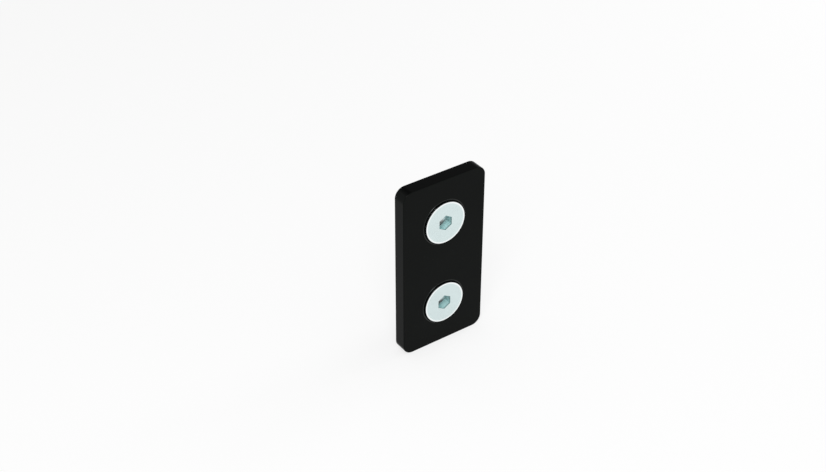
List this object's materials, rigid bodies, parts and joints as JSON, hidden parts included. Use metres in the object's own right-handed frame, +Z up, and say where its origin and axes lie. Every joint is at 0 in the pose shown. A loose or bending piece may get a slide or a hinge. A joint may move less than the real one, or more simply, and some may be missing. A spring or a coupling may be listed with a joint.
{
  "type": "extrusion joining plate",
  "caption": "Flat black plate with countersunk hexagon-socket screws and T-shaped slot nuts, joining two square slotted extrusions butted together.",
  "frame": {"origin": "middle of the plate's back face, which lies on the extrusions' outer faces", "axes": "+X across the plate to the right, +Y through the plate into the extrusions, +Z up the plate's length"},
  "size_m": [0.04, 0.02, 0.08],
  "materials": {
    "black_plate": "smooth semi-gloss black coating",
    "zinc_screw": "bright zinc plating with a faint blue-green tint",
    "zinc_nut": "dull zinc plating"
  },
  "bodies": {
    "root": {"joining_plate": "black_plate", "upper_screw": "zinc_screw", "lower_screw": "zinc_screw", "upper_slot_nut": "zinc_nut", "lower_slot_nut": "zinc_nut"}
  },
  "joints": []
}
